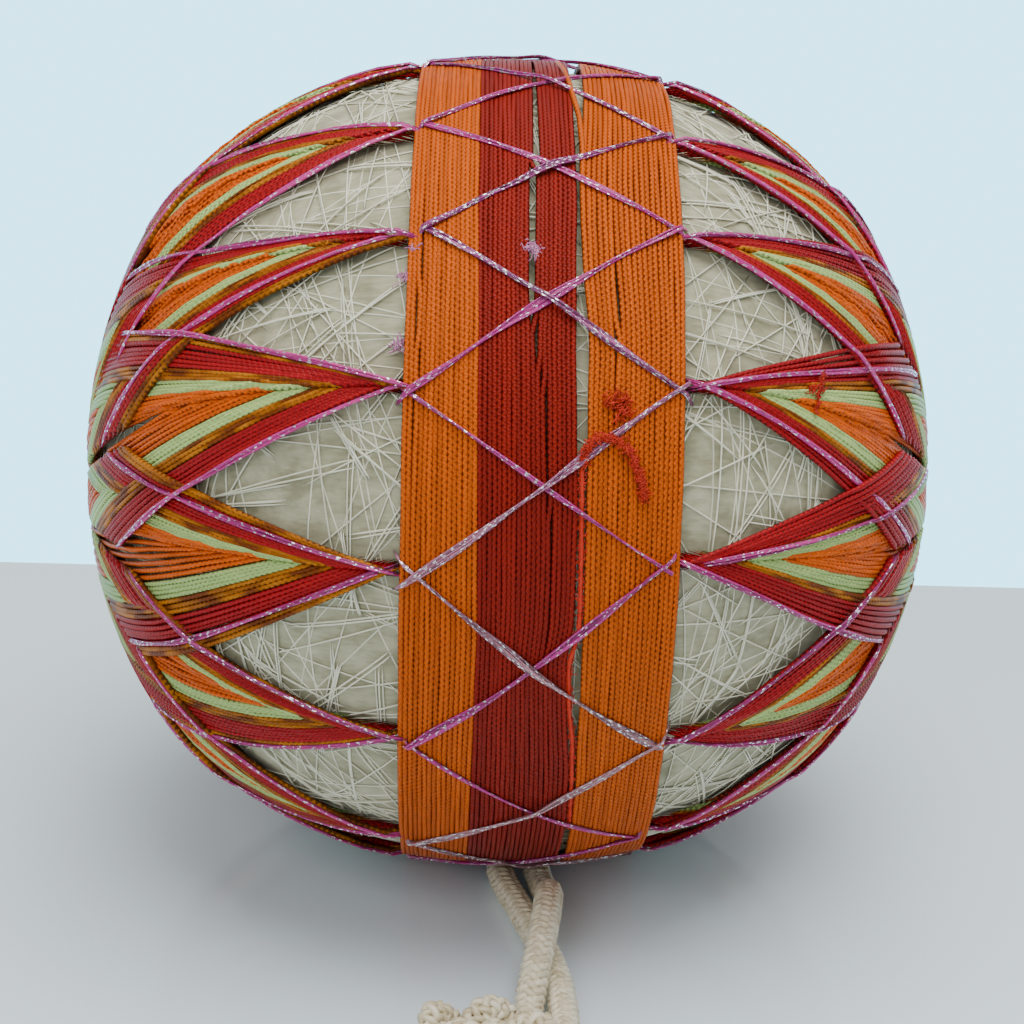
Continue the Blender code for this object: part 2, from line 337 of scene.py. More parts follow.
@dataclass
class ThreadBundle:
    """Threads of one finish, laid as thin tubes and made into one mesh piece.

    The piece's UV map follows each thread: u is the length along it in millimetres, and v is 0 on
    its outward side and reaches half a turn each way. Its attribute tint is one random number a
    thread, for the small differences in dye from thread to thread.
    """

    name: str
    radius: float
    ply: Ply
    seed: int
    runs: list[Run] = field(default_factory=list)

    def lay(self, points: np.ndarray, closed: bool = False, widths: np.ndarray | None = None,
            along: np.ndarray | None = None) -> None:
        """Lay one thread.

        Args:
            points: its centre line in millimetres.
            closed: whether it runs back into its own start.
            widths: its radius at each point as a share of the bundle's; an open thread closes to a
                point at both ends.
            along: the length along it at each point, with one more at the end of a closed thread;
                by default its true length with a random start.
        """
        shares = np.ones(len(points)) if widths is None else np.array(widths, dtype=float)
        if not closed:
            shares[0] = shares[-1] = 0.0
        if along is None:
            start = 50.0 * np.random.default_rng((self.seed, len(self.runs))).random()
            along = lengths_along(np.r_[points, points[:1]] if closed else points) + start
        self.runs.append(Run(points, closed, shares, along))

    def curve(self) -> Curve:
        """The threads as the splines of one bevelled curve."""
        curve = bpy.data.curves.new(self.name, "CURVE")
        curve.dimensions = "3D"
        curve.bevel_depth = self.radius * MM
        curve.bevel_resolution = self.ply.value[0]
        curve.use_fill_caps = False
        for run in self.runs:
            spline = curve.splines.new("POLY")
            spline.points.add(len(run.points) - 1)
            spline.points.foreach_set("co", np.c_[run.points * MM, np.ones(len(run.points))].ravel())
            spline.points.foreach_set("radius", run.widths)
            spline.use_cyclic_u = run.closed
            spline.use_smooth = True
        return curve

    def follow(self, mesh: Mesh) -> None:
        """Write the UV map and the tints, from the order in which a curve gives its tubes' parts.

        Args:
            mesh: the tubes' mesh, as the curve gives it.
        """
        sides = self.ply.value[1]
        place = np.empty(len(mesh.vertices) * 3, dtype=np.float32)
        mesh.vertices.foreach_get("co", place)
        place = place.reshape(-1, sides, 3) / MM
        corner = np.empty(len(mesh.loops), dtype=np.int32)
        mesh.loops.foreach_get("vertex_index", corner)
        corner = corner.reshape(-1, 4)
        uv = np.empty((len(corner), 4, 2), dtype=np.float32)
        tints = np.empty(len(corner), dtype=np.float32)
        rng = np.random.default_rng(self.seed)
        point = face = 0
        for run in self.runs:
            count = len(run.points)
            faces = (count if run.closed else count - 1) * sides
            own = corner[face : face + faces] - point * sides
            at = own // sides
            length = run.along[at]
            wraps = at.max(axis=1) - at.min(axis=1) > 1
            length[wraps] = np.where(at[wraps] == 0, run.along[-1], length[wraps])
            share = run.around(place[point : point + count]).ravel()[own]
            seam = share.max(axis=1) - share.min(axis=1) > 0.5
            share[seam] = np.where(share[seam] < 0.0, share[seam] + 1.0, share[seam])
            uv[face : face + faces] = np.stack((length, share), axis=2)
            tints[face : face + faces] = rng.random()
            point, face = point + count, face + faces
        mesh.uv_layers[0].uv.foreach_set("vector", uv.ravel())
        mesh.attributes.new("tint", "FLOAT", "FACE").data.foreach_set("value", tints)

    def build(self, material: Material, slot: str, *replaced: str) -> Object:
        """Make the piece.

        Args:
            material: its finish.
            slot: the record's material slot that it belongs to.
            replaced: the CAD nodes that it stands for.

        Returns:
            The piece, riding on the ball.
        """
        holder = put(self.name, self.curve())
        mesh = bpy.data.meshes.new_from_object(holder.evaluated_get(bpy.context.evaluated_depsgraph_get()))
        bpy.data.curves.remove(holder.data)
        self.follow(mesh)
        bm = bmesh.new()
        bm.from_mesh(mesh)
        bmesh.ops.remove_doubles(bm, verts=bm.verts[:], dist=0.002 * MM)
        bm.to_mesh(mesh)
        bm.free()
        mesh.shade_smooth()
        return add_piece(self.name, mesh, material, slot, *replaced)


@dataclass(frozen=True)
class PearlCotton:
    """Mercerised two-ply cotton: silky, with painted shade in short dark gaps where neighbours' plies part, and
    painted highlights where its crest swings furthest.
    """

    name: str
    light: str
    # dark is the painted shade in the gaps where the plies part
    dark: str
    repeat: float = 0.64
    swing: float = 0.13
    mottle: float = 0.2
    # How strong the painted shade in the parted gaps gets at most
    slot_shade: float = 0.8
    roughness: float = 0.42
    second: str = ""
    second_run: float = 6.0

    def dye(self, tree: NodeTree, length: NodeSocket, tint: NodeSocket):
        """The light colour, which changes along a thread that is dyed in lengths."""
        base = linear(self.light)
        if not self.second:
            return base
        length = compute(tree, "MULTIPLY_ADD", length, 1.0 / self.second_run, tint)
        run = add_node(tree, "ShaderNodeTexNoise", {"noise_dimensions": "1D"}, W=length, Scale=1.0, Detail=1.0)
        return blend(tree, fit(tree, run.outputs["Fac"], 0.42, 0.58), base, linear(self.second))

    def make(self) -> Material:
        """Build the material."""
        shading = Shading(self.name)
        tree = shading.tree
        uv, tint = shading.read_thread()
        place = add_node(tree, "ShaderNodeSeparateXYZ", Vector=uv)
        # The twist: the thread's crest swings from side to side once in each repeat
        wave = compute(tree, "SINE", compute(tree, "MULTIPLY", place.outputs[0], 2 * math.pi / self.repeat))
        ridge = compute(tree, "ABSOLUTE", compute(tree, "MULTIPLY_ADD", wave, self.swing, place.outputs[1]))
        # Painted shade: where the crest swings far to one side the plies part, and there the colour goes to the dark
        # one, more in some patches than in others
        patch = fit(tree, flat_noise(tree, uv, 0.22, 1.0), 0.36, 0.56, 0.35 * self.slot_shade, self.slot_shade)
        slot = compute(tree, "MULTIPLY", fit(tree, ridge, 0.17, 0.24), patch)
        # Filaments along the thread, and a painted highlight: a bright spot where the crest swings furthest
        grain = flat_noise(tree, uv, 1.0, 2.0, (0.7, 9.0))
        painted_glint = compute(tree, "MULTIPLY", fit(tree, ridge, 0.06, 0.0), fit(tree, wave, 0.72, 0.98))
        shade = compute(tree, "MULTIPLY_ADD", tint, 0.5, grain)
        value = compute(tree, "ADD", painted_glint, fit(tree, shade, 0.4, 1.1, 1.0 - self.mottle, 1.0 + self.mottle))
        dyed = add_node(tree, "ShaderNodeHueSaturation", Color=self.dye(tree, place.outputs[0], tint), Value=value)
        # The base colour carries the painted highlights and, in the dark colour, the painted shade of the parted gaps
        return shading.finish(
            Base_Color=blend(tree, slot, dyed.outputs[0], linear(self.dark)),
            Normal=shading.bump(fit(tree, ridge, 0.0, 0.25, 1.0, 0.0), 0.6, 0.12),
            Roughness=self.roughness,
            Specular_IOR_Level=0.12,
        )


@dataclass(frozen=True)
class FoilThread:
    """Dyed filament wrapped in a thin strip of foil: satin along it, with small silver glints."""

    name: str
    light: str
    dark: str
    high_light: str = ""
    high_dark: str = ""
    foil: str = "#F6F2F6"
    glint_run: float = 0.55
    glints: float = 0.62

    def shade(self, tree: NodeTree, low: str, high: str):
        """A dye, which may change with the height on the ball."""
        if not high:
            return linear(low)
        place = add_node(tree, "ShaderNodeSeparateXYZ", Vector=add_node(tree, "ShaderNodeTexCoord").outputs["Object"])
        return blend(tree, fit(tree, place.outputs[2], 34.0 * MM, 76.0 * MM), linear(low), linear(high))

    def make(self) -> Material:
        """Build the material."""
        shading = Shading(self.name)
        tree = shading.tree
        uv, tint = shading.read_thread()
        flecks = flat_noise(tree, uv, 1.0, 1.5, (1.0 / self.glint_run, 2.2))
        foil = fit(tree, flecks, self.glints, self.glints + 0.03)
        fibres = flat_noise(tree, uv, 1.6, 2.0, (0.5, 5.0))
        fade = fit(tree, compute(tree, "MULTIPLY_ADD", tint, 0.6, fibres), 0.4, 1.1)
        dark, light = self.shade(tree, self.dark, self.high_dark), self.shade(tree, self.light, self.high_light)
        return shading.finish(
            Base_Color=blend(tree, foil, blend(tree, fade, dark, light), linear(self.foil)),
            Normal=shading.bump(fibres, 0.5, 0.06),
            Metallic=foil,
            Roughness=fit(tree, foil, 0.0, 1.0, 0.36, 0.2),
            Specular_IOR_Level=0.5,
        )


@dataclass(frozen=True)
class WindingThread:
    """The ground under the loose turns: thread wound so close that it reads as pale fleece."""

    name: str
    light: str
    dark: str
    blotch: float = 3.0
    fibre: float = 0.5
    layers: int = 3

    def make(self) -> Material:
        """Build the material."""
        shading = Shading(self.name)
        tree = shading.tree
        place = add_node(tree, "ShaderNodeTexCoord").outputs["Object"]
        rng = np.random.default_rng(5)
        across = 1.0 / (self.fibre * MM)
        layers = []
        for _ in range(self.layers):
            # Each layer is a set of long fine streaks that lie one way
            angles = tuple(float(a) for a in rng.uniform(0.0, 2 * math.pi, 3))
            turned = add_node(tree, "ShaderNodeMapping", Vector=place, Rotation=angles,
                              Scale=(0.12 / MM, across, across))
            streaks = add_node(tree, "ShaderNodeTexNoise", Vector=turned.outputs[0], Scale=1.0, Detail=2.0)
            layers.append(streaks.outputs["Fac"])
        total = layers[0]
        for layer in layers[1:]:
            total = compute(tree, "MAXIMUM", total, layer)
        cloud = add_node(tree, "ShaderNodeTexNoise", Vector=place, Scale=1.0 / (self.blotch * MM), Detail=3.0)
        depth = compute(tree, "MULTIPLY_ADD", cloud.outputs["Fac"], 1.5, total)
        return shading.finish(
            Base_Color=blend(tree, fit(tree, depth, 1.0, 1.7), linear(self.dark), linear(self.light)),
            Normal=shading.bump(total, 0.4, 0.12),
            Roughness=0.8,
            Sheen_Weight=0.2,
            Specular_IOR_Level=0.2,
        )


@dataclass(frozen=True)
class PlainThread:
    """A thread whose shade changes with its filaments: by default a fine spun polyester.

    Stretch draws the filaments' noise out along the thread, fade is the part of it that goes from
    the dark colour to the light one, and relief is its bump's strength and depth in millimetres.
    """

    name: str
    light: str
    dark: str
    roughness: float = 0.5
    specular: float = 0.3
    scale: float = 0.5
    detail: float = 2.0
    stretch: tuple[float, ...] = ()
    tint_share: float = 0.8
    fade: tuple[float, float] = (0.3, 1.3)
    relief: tuple[float, ...] = ()

    def make(self) -> Material:
        """Build the material."""
        shading = Shading(self.name)
        tree = shading.tree
        uv, tint = shading.read_thread()
        fibres = flat_noise(tree, uv, self.scale, self.detail, self.stretch)
        fade = fit(tree, compute(tree, "MULTIPLY_ADD", tint, self.tint_share, fibres), *self.fade)
        colour = blend(tree, fade, linear(self.dark), linear(self.light))
        bump = {"Normal": shading.bump(fibres, *self.relief)} if self.relief else {}
        return shading.finish(Base_Color=colour, Roughness=self.roughness, Specular_IOR_Level=self.specular, **bump)


# Untwisted filament: about twenty fine lines round a strand, each several millimetres long
BRAIDED_RAYON = PlainThread("braided rayon strand", "#EFE6CC", "#B7A67C", roughness=0.32, specular=0.5, scale=2.0,
                            detail=3.0, stretch=(0.35, 10.0), tint_share=0.35, fade=(0.3, 0.85), relief=(0.6, 0.08))


@dataclass(frozen=True)
class Route:
    """A line through a few placed points, in millimetres."""

    points: tuple[tuple[float, float, float], ...]

    def smooth(self, step: float) -> np.ndarray:
        """Points an even step apart along a smooth curve through the route's own points."""
        knots = np.array(self.points)
        knots = np.vstack((2 * knots[0] - knots[1], knots, 2 * knots[-1] - knots[-2]))
        t = (np.arange(24) / 24)[:, None]
        pieces = [
            0.5 * (2 * b + (c - a) * t + (2 * a - 5 * b + 4 * c - d) * t**2 + (3 * b - a - 3 * c + d) * t**3)
            for a, b, c, d in zip(knots, knots[1:], knots[2:], knots[3:])
        ]
        return even_steps(np.vstack(pieces + [knots[-2:-1]]), step)


@dataclass(frozen=True)
class RoundBraid:
    """An eight-strand round braid: four strands wind each way and pass over and under in turn."""

    diameter: float = 3.0
    strand: float = 0.42
    lift: float = 0.2
    turn_length: float = 3.9
    step: float = 0.13
    core_width: float = 2.1

    def lay(self, bundle: ThreadBundle, line: np.ndarray, closed: bool = False) -> None:
        """Lay the eight strands and the core along a line.

        Args:
            bundle: takes the strands.
            line: the cord's centre line.
            closed: whether the cord runs back into its own start.
        """
        line = even_steps(np.r_[line, line[:1]] if closed else line, self.step)
        ahead = unit(np.gradient(line, axis=0))
        across = unit(np.cross(ahead, (0.0, 0.0, 1.0)))
        above = np.cross(across, ahead)
        along = lengths_along(line)
        turn_length = self.turn_length
        if closed:
            turn_length = along[-1] / round(along[-1] / self.turn_length)
        middle = self.diameter / 2 - self.strand - self.lift * 0.6
        for way in (1, -1):
            for strand in range(4):
                angle = way * 2 * np.pi * along / turn_length + strand * np.pi / 2
                reach = middle + way * self.lift * np.cos(8 * np.pi * along / turn_length)
                points = line + across * (reach * np.cos(angle))[:, None] + above * (reach * np.sin(angle))[:, None]
                bundle.lay(points[:-1] if closed else points, closed=closed)
        core = line[:-1:6] if closed else line[::6]
        bundle.lay(core, closed=closed, widths=np.full(len(core), self.core_width))


@dataclass
class HangingCord:
    """The braided hanging cord: two runs from under the ball, a knot, and a loop beyond it."""

    under: Route = Route((
        (0.5, -16.4, 1.55), (1.0, -19.0, 1.55), (2.0, -22.4, 1.55), (3.4, -27.4, 1.55),
        (4.6, -31.5, 1.55), (5.6, -36.0, 1.55), (6.1, -41.0, 1.55), (6.2, -46.4, 1.55),
    ))
    over: Route = Route((
        (4.5, -16.4, 1.55), (4.9, -19.0, 1.6), (5.3, -21.8, 2.4), (5.3, -25.0, 4.1), (5.0, -29.0, 4.9),
        (4.6, -32.5, 5.0), (4.0, -36.5, 4.6), (3.3, -40.5, 3.4), (2.8, -43.5, 2.2), (2.8, -45.7, 1.8),
    ))
    loop: Route = Route((
        (-3.8, -64.1, 1.55), (-4.1, -68.5, 1.55), (-5.4, -75.0, 1.55), (-7.6, -82.0, 1.55),
        (-9.4, -89.0, 1.55), (-10.1, -96.0, 1.55), (-8.8, -103.0, 1.55), (-4.8, -108.2, 1.55),
        (0.8, -109.0, 1.55), (5.6, -105.6, 1.55), (7.6, -99.4, 1.55), (7.0, -92.0, 1.55),
        (5.0, -84.0, 1.55), (2.4, -76.0, 1.55), (0.5, -69.5, 1.55), (0.0, -64.1, 1.55),
    ))
    tuck: float = 1.8
    knot_centre: tuple[float, float, float] = (-1.95, -54.6, 3.1)
    knot_middle: float = 4.95
    knot_swing: float = 2.7
    knot_rise: float = 1.5
    knot_leads: int = 3
    knot_bights: int = 8
    knot_start: float = math.radians(67.5)
    braid: RoundBraid = RoundBraid()

    def build_run(self, name: str, route: Route, material: Material, seed: int) -> Object:
        """Braid one run of the cord in place of its CAD tube.

        Args:
            name: the tube's node.
            route: the run's centre line.
            material: the cord's finish.
            seed: the seed of its strands' tints.

        Returns:
            The piece.
        """
        bundle = ThreadBundle(name + "_braid", self.braid.strand, Ply.FINE if "loop" in name else Ply.COMMON, seed)
        line = route.smooth(0.5)
        # Its ends run on into the knot and under the ball, out of sight
        first, last = (end + unit(end - before) * self.tuck
                       for end, before in ((line[0], line[1]), (line[-1], line[-2])))
        self.braid.lay(bundle, np.vstack((first, line, last)))
        return bundle.build(material, "cord_braid", name)

    def knot_line(self) -> np.ndarray:
        """The knot's centre line: a flat interlaced ring of three leads and eight bights."""
        t = np.linspace(0.0, 2 * np.pi * self.knot_leads, 720, endpoint=False)
        swing = self.knot_bights * t / self.knot_leads
        radius = self.knot_middle + self.knot_swing * np.cos(swing)
        angle = t + self.knot_start
        offsets = (radius * np.cos(angle), radius * np.sin(angle), self.knot_rise * np.sin(2 * swing))
        return np.array(self.knot_centre) + np.stack(offsets, axis=1)

    def build(self) -> None:
        """Build the cord's pieces: its knot and its three runs."""
        material = BRAIDED_RAYON.make()
        bundle = ThreadBundle("knot_braid", self.braid.strand, Ply.FINE, 31)
        self.braid.lay(bundle, self.knot_line(), closed=True)
        knot = bundle.build(material, "cord_braid", "knot")
        runs = (("cord_leg_under", self.under, 32), ("cord_leg_over", self.over, 33), ("hanging_loop", self.loop, 34))
        for name, route, seed in runs:
            piece = self.build_run(name, route, material, seed)
            path = route.smooth(2.0) * MM
            float(lengths_along(route.smooth(0.5))[-1]) * MM


@dataclass
class WoundBall:
    """The ball of off-white thread: a close body, long turns over it, and loose turns on top.

    Windows are the latitudes between which the ground shows, and window_shares their shares of the
    loose turns.
    """

    floor: float = 3.4
    body_drop: float = 0.05
    long_turns: int = 90
    loose_turns: int = 1250
    radius: float = 0.085
    usual_reach: float = 43.5
    long_heights: tuple[float, float] = (-0.08, 0.1)
    loose_heights: tuple[float, float] = (0.04, 0.34)
    half_lengths: tuple[float, float] = (3.5, 13.0)
    twin_gap: float = 0.35
    deepest: float = -0.16
    windows: tuple[tuple[float, float], ...] = ((-41.0, -9.0), (14.0, 50.0), (-7.0, 10.0))
    window_shares: tuple[float, ...] = (0.42, 0.46, 0.12)
    twin_shares: tuple[float, ...] = (0.6, 0.28, 0.12)

    def build_body(self) -> None:
        """The close body, flat where it rests."""
        bm = bmesh.new()
        bmesh.ops.create_uvsphere(bm, u_segments=128, v_segments=64, radius=1.0)
        directions = np.array([vert.co for vert in bm.verts])[:, [2, 0, 1]]
        for vert, point in zip(bm.verts, FORM.reach(directions, -self.body_drop, self.floor) * MM):
            vert.co = point
        bmesh.ops.recalc_face_normals(bm, faces=bm.faces[:])
        mesh = bpy.data.meshes.new("wound_body")
        bm.to_mesh(mesh)
        bm.free()
        mesh.shade_smooth()
        finish = WindingThread("spun polyester winding, deep turns", "#BEBA9C", "#8F8B6E")
        add_piece("wound_body", mesh, finish.make(), "wound_thread", "wound_ball")

    def arc(self, start: np.ndarray, ahead: np.ndarray, sweep: np.ndarray, height) -> np.ndarray:
        """A taut turn of thread from a direction, along a heading, over an array of angles."""
        return FORM.reach(np.outer(np.cos(sweep), start) + np.outer(np.sin(sweep), ahead), height, self.floor)

    def build_long_turns(self, rng: np.random.Generator, material: Material) -> None:
        """Wind the long turns, all round the ball.

        Args:
            rng: the seeded source of their headings.
            material: their finish.
        """
        bundle = ThreadBundle("wound_long_turns", self.radius, Ply.FINE, 12)
        sweep = np.linspace(0.0, 2 * np.pi, 72, endpoint=False)
        for _ in range(self.long_turns):
            start = unit(rng.normal(size=3))
            ahead = unit(np.cross(start, rng.normal(size=3)))
            bundle.lay(self.arc(start, ahead, sweep, rng.uniform(*self.long_heights)), closed=True)
        bundle.build(material, "wound_thread", "wound_ball")

    def build_loose_turns(self, rng: np.random.Generator, material: Material) -> None:
        """Lay the loose turns, often in twos or threes, where the ground shows.

        Args:
            rng: the seeded source of their places.
            material: their finish.
        """
        bundle = ThreadBundle("wound_loose_turns", self.radius, Ply.FINE, 13)
        share = np.linspace(-1, 1, 9)
        dip = 1.0 - 2.2 * smooth_step(share**2 * 1.6 - 0.7)
        while len(bundle.runs) < self.loose_turns:
            low, high = self.windows[int(rng.choice(len(self.windows), p=self.window_shares))]
            latitude, turn = math.radians(rng.uniform(low, high)), rng.uniform(0.0, 2 * np.pi)
            around = math.cos(latitude)
            start = np.array((math.sin(latitude), -around * math.cos(turn), around * math.sin(turn)))
            ahead = unit(np.cross(start, rng.normal(size=3)))
            aside = np.cross(start, ahead)
            half = rng.uniform(*self.half_lengths) / self.usual_reach
            height = rng.uniform(*self.loose_heights)
            for _ in range(int(rng.choice((1, 2, 3), p=self.twin_shares))):
                nearby = unit(start + aside * rng.uniform(-self.twin_gap, self.twin_gap) / self.usual_reach)
                heading = ahead + aside * rng.uniform(-0.03, 0.03)
                heading = unit(heading - nearby * (heading @ nearby))
                bundle.lay(self.arc(nearby, heading, half * share, np.maximum(height * dip, self.deepest)))
        bundle.build(material, "wound_thread", "wound_ball")

    def build(self) -> None:
        """Build the ball's pieces."""
        self.build_body()
        rng = np.random.default_rng(11)
        material = PlainThread("spun polyester thread, off-white", "#F0EED8", "#D0CEB6").make()
        self.build_long_turns(rng, material)
        self.build_loose_turns(rng, material)


# A line round the ball as pairs of turn and latitude; it repeats after a full turn
TurnLine = tuple[tuple[float, float], ...]


def read_line(line: TurnLine, turn: np.ndarray) -> np.ndarray:
    """A turn line's value at each turn."""
    turns, values = np.array(line).T
    return np.interp(turn, turns, values, period=360.0)


@dataclass
class Band:
    """One band of the sash: close rounds of thread between two edges.

    Parting is the line along which its threads have parted and parted how wide, both in
    millimetres. Strays are turns of thread that have slipped out of it.
    """

    node: str
    slot: str
    rounds: int
    finish: PearlCotton
    seed: int
    left: TurnLine
    right: TurnLine
    parting: TurnLine
    parted: TurnLine
    strays: tuple[TurnLine, ...] = ()

    radius: float = 0.285
    height: float = 1.05
    floor: float = 2.05
    steps: int = 144
    start: float = -165.0
    shared_stray: float = 0.05
    own_stray: float = 0.055
    height_stray: float = 0.04
    twist_stray: float = 0.42
    parting_reach: float = 2.6
    stray_lift: float = 0.4

    def build(self) -> None:
        """Lay the band's rounds, and the turns of it that have strayed."""
        rng, twists = np.random.default_rng(self.seed), np.random.default_rng(self.seed + 70)
        bundle = ThreadBundle(self.node + "_rounds", self.radius, Ply.COMMON, self.seed)
        share = np.arange(self.steps) / self.steps
        whole = np.r_[share, 1.0]
        turn = self.start + 360.0 * share
        left, right = read_line(self.left, turn), read_line(self.right, turn)
        together = wander(rng, share, (3, 5, 8), self.shared_stray)
        for number in range(self.rounds):
            latitude = left + (right - left) * (number + 0.5) / self.rounds + together
            latitude = latitude + wander(rng, share, (7, 13, 19, 29), self.own_stray)
            latitude = latitude + self.part_threads(latitude, turn)
            height = self.height + wander(rng, share, (5, 11, 23), self.height_stray)
            twist = (number % 2) / 2 + wander(twists, whole, (7, 12, 19), self.twist_stray)
            along = 2 * np.pi * SASH_RADIUS * whole + (twist + 900.0 * number) * self.finish.repeat
            bundle.lay(FORM.place(latitude, turn, height, self.floor), closed=True, along=along)
        share = np.linspace(0.0, 1.0, 40)
        for stray in self.strays:
            turn, latitude = (np.interp(share, np.linspace(0.0, 1.0, len(stray)), row) for row in np.array(stray).T)
            bundle.lay(FORM.place(latitude, turn, self.height + self.stray_lift * np.sin(np.pi * share)))
        bundle.build(self.finish.make(), self.slot, self.node)

    def part_threads(self, latitude: np.ndarray, turn: np.ndarray) -> np.ndarray:
        """How far a round moves aside where the band has parted."""
        away = latitude - DEGREES_PER_MM * read_line(self.parting, turn)
        half = DEGREES_PER_MM * np.maximum(read_line(self.parted, turn), 0.0) / 2
        return np.sign(away) * half * np.exp(-np.abs(away) / self.parting_reach)


@dataclass
class Sash:
    """The three bands round the middle of the ball."""

    # Each band's dark colour is painted shade, for the gaps where the plies part
    orange: PearlCotton = PearlCotton("mercerised cotton, orange", "#C05406", "#4C1602")
    red: PearlCotton = PearlCotton("mercerised cotton, brick red", "#841A10", "#220403")
    left_edge: TurnLine = ((-90.0, -13.5), (10.0, -13.6), (90.0, -13.5), (180.0, -13.6))
    border: TurnLine = ((-90.0, -4.9), (-36.0, -4.4), (-5.5, -4.25), (5.7, -4.5), (36.0, -5.07), (50.0, -5.36),
                        (90.0, -5.4), (180.0, -5.2))
    red_right: TurnLine = (
        (-90.0, 7.6), (-36.0, 8.1), (-24.2, 7.7), (-15.4, 7.0), (-7.8, 6.5), (-2.7, 7.15), (2.3, 7.2), (14.6, 7.05),
        (18.5, 6.8), (24.6, 6.67), (30.8, 6.48), (44.2, 6.35), (52.2, 6.46), (67.6, 6.26), (90.0, 6.3), (180.0, 6.8),
    )
    orange_left: TurnLine = (
        (-90.0, 8.7), (-36.1, 9.0), (-26.9, 8.96), (-19.6, 8.64), (-6.1, 8.48), (3.9, 8.33), (14.6, 8.26),
        (24.7, 8.14), (30.9, 8.3), (34.1, 8.05), (37.3, 7.71), (40.7, 7.33), (48.0, 6.98), (54.5, 7.03), (61.9, 7.43),
        (67.9, 7.78), (75.8, 8.06), (90.0, 8.2), (180.0, 8.4),
    )
    right_edge: TurnLine = ((-90.0, 19.6), (0.0, 19.7), (90.0, 19.6), (180.0, 19.7))

    def build(self) -> None:
        """Build the bands, with the stray turn in the gap."""
        Band("sash_orange_left", "orange_thread", 15, self.orange, 21, self.left_edge, self.border,
             parting=((0.0, -9.3), (180.0, -9.3)),
             parted=((12.0, 0.0), (22.0, 0.18), (44.0, 0.2), (56.0, 0.0), (180.0, 0.0))).build()
        Band("sash_red", "red_thread", 20, self.red, 22, self.border, self.red_right,
             parting=((-60.0, 3.3), (3.5, 3.22), (17.5, 2.68), (24.4, 2.4), (33.0, 1.2), (37.6, 0.9), (48.0, 0.92),
                      (56.0, 1.09), (62.8, 1.21), (80.9, 1.41), (120.0, 1.5)),
             parted=((-15.0, 0.0), (-4.0, 0.16), (20.0, 0.26), (32.0, 0.3), (38.0, 0.75), (62.0, 0.75), (82.0, 0.4),
                     (100.0, 0.0), (180.0, 0.0))).build()
        Band("sash_orange_right", "orange_thread", 19, self.orange, 23, self.orange_left, self.right_edge,
             parting=((0.0, 8.75), (180.0, 8.75)),
             parted=((18.0, 0.0), (26.0, 0.2), (38.0, 0.3), (46.0, 0.0), (180.0, 0.0)),
             strays=(((98.0, 4.9), (88.0, 5.2), (81.0, 5.8), (73.3, 6.42), (67.0, 7.12), (60.4, 7.4), (53.0, 7.3)),),
             ).build()


@dataclass(frozen=True)
class Stitch:
    """The stitches of a division line: crossings at the sash's edges, and the petals' tips.

    Each is a latitude and a stray along the edge, in degrees. Past is how far the legs of the
    lattice run on past their crossings, left and right.
    """

    line: int
    left: tuple[float, float]
    right: tuple[float, float]
    left_tip: tuple[float, float]
    right_tip: tuple[float, float]
    past: tuple[float, float] = (1.9, 2.2)


# Eight lines that repeat behind
STITCHES = (
    Stitch(-3, (-12.0, -4.3), (17.5, -2.6), (-14.2, -2.5), (20.9, -1.6)),
    Stitch(-2, (-12.1, -1.3), (18.2, -1.4), (-13.9, -0.2), (21.2, -1.2), (1.9, 2.6)),
    Stitch(-1, (-11.5, 0.6), (17.4, 2.2), (-14.6, 1.0), (20.3, 2.6), (3.3, 2.9)),
    Stitch(0, (-13.0, 0.1), (18.8, 1.5), (-14.1, 1.0), (21.3, 2.4), (1.9, 2.6)),
    Stitch(1, (-11.6, -1.0), (18.8, 0.8), (-13.9, -1.8), (20.4, 0.2)),
    Stitch(2, (-12.3, -4.7), (18.2, -4.2), (-13.9, -5.3), (19.9, -4.7)),
    Stitch(3, (-12.4, -4.0), (18.4, -4.0), (-14.1, -4.5), (20.5, -4.0)),
    Stitch(4, (-12.4, -1.0), (18.4, -1.0), (-14.0, -2.0), (20.8, -1.0)),
)


def stitch_at(line: int) -> Stitch:
    """The stitches of a division line."""
    return STITCHES[(line - STITCHES[0].line) % len(STITCHES)]


def nearest_index(line: int) -> int:
    """A division line's number, counted from -8 to 7."""
    return (line + 8) % DIVISIONS - 8


@dataclass(frozen=True)
class FlatStrand:
    """Fine metallic filaments that lie side by side as one flat strand."""

    filaments: int
    half_width: float
    roll: float = 17.0
    openness: float = 0.66
    breath: float = 0.38
    stray: float = 0.28
    arch: float = 0.4

    def lay(self, bundle: ThreadBundle, centre: np.ndarray, widths: np.ndarray, rng: np.random.Generator) -> None:
        """Lay the filaments along a line over the ball.

        Args:
            bundle: takes the filaments.
            centre: the strand's centre line.
            widths: its width at each point, as a share of its own.
            rng: the seeded source of its unevenness.
        """
        outward = FORM.outward(centre)
        aside = np.cross(unit(np.gradient(centre, axis=0)), outward)
        share = np.linspace(0.0, 1.0, len(centre))
        turned = 2 * np.pi * lengths_along(centre)[-1] * share / self.roll + rng.uniform(0.0, 2 * np.pi)
        for place in np.linspace(-1.0, 1.0, self.filaments):
            across = place * (self.openness + self.breath * np.cos(turned)) + wander(rng, share, (1, 2, 3), self.stray)
            lift = self.arch * self.half_width * np.sin(turned + 2.5 * place) * (1.0 - 0.5 * place * place)
            points = centre + aside * (self.half_width * widths * across)[:, None] + outward * lift[:, None]
            points[:, 2] = np.maximum(points[:, 2], bundle.radius)
            bundle.lay(points)


